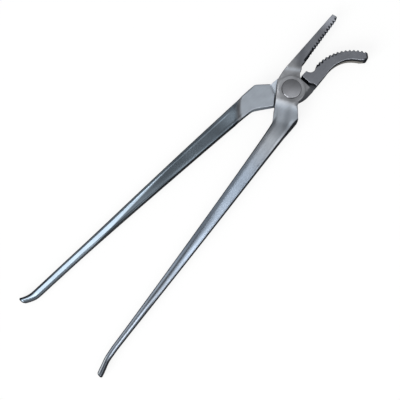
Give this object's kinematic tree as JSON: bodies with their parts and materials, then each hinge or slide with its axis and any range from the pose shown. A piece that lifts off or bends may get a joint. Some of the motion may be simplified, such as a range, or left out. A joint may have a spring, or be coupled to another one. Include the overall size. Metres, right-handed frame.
{
  "type": "farrier clinching tongs",
  "caption": "Forged steel clinching tongs with one straight and one curved serrated jaw, a half-lap joint on a domed rivet, and long tapered reins with flared ends.",
  "frame": {"origin": "on the rivet's axis, in the plane that the tool lies on", "axes": "+Z along the rivet's axis towards its domed head, +X from the joint towards the jaws along the tool's length, +Y towards the straight jaw's side"},
  "size_m": [0.3502, 0.0928, 0.0167],
  "materials": {
    "straight_arm_steel": "satin forged and linished steel",
    "curved_arm_steel": "satin forged and linished steel",
    "rivet_steel": "turned and brushed steel"
  },
  "bodies": {
    "curved_arm": {"curved_jaw_arm": "curved_arm_steel", "pivot_rivet": "rivet_steel"},
    "straight_arm": {"straight_jaw_arm": "straight_arm_steel"}
  },
  "joints": [
    {"name": "jaw_pivot", "type": "hinge", "parent": "curved_arm", "child": "straight_arm", "pos_m": [0, 0, 0.007], "axis": [0, 0, 1], "range_deg": [-2.5, 15]}
  ]
}
